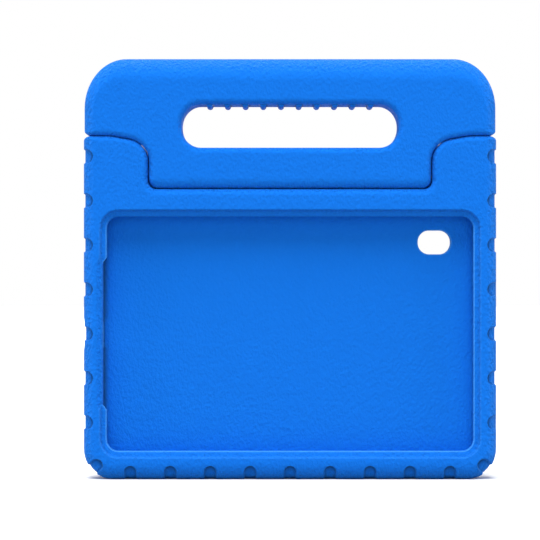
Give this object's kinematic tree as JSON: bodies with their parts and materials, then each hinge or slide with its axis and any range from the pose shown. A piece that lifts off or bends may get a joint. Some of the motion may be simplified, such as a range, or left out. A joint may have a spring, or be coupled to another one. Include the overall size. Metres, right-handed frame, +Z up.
{
  "type": "kids tablet case",
  "caption": "Thick moulded foam case with a lipped window for a small tablet and a carrying handle that folds back on two pivots as a stand.",
  "frame": {"origin": "middle of the flat bottom edge that the case stands on", "axes": "+Z up through the handle, the window faces -Y, +X to the right seen from the front"},
  "size_m": [0.2246, 0.026, 0.229],
  "materials": {
    "blue_foam": "matte moulded EVA foam with a fine leathery grain",
    "pin_plastic": "moulded nylon",
    "bush_plastic": "moulded acetal"
  },
  "bodies": {
    "case": {"case_shell": "blue_foam", "pivot_pin_left": "pin_plastic", "pivot_pin_right": "pin_plastic"},
    "handle": {"carry_handle": "blue_foam", "pivot_bush_left": "bush_plastic", "pivot_bush_right": "bush_plastic"}
  },
  "joints": [
    {"name": "handle_fold", "type": "hinge", "parent": "case", "child": "handle", "pos_m": [0, 0, 0.1677], "axis": [-1, 0, 0], "range_deg": [0, 90]}
  ]
}
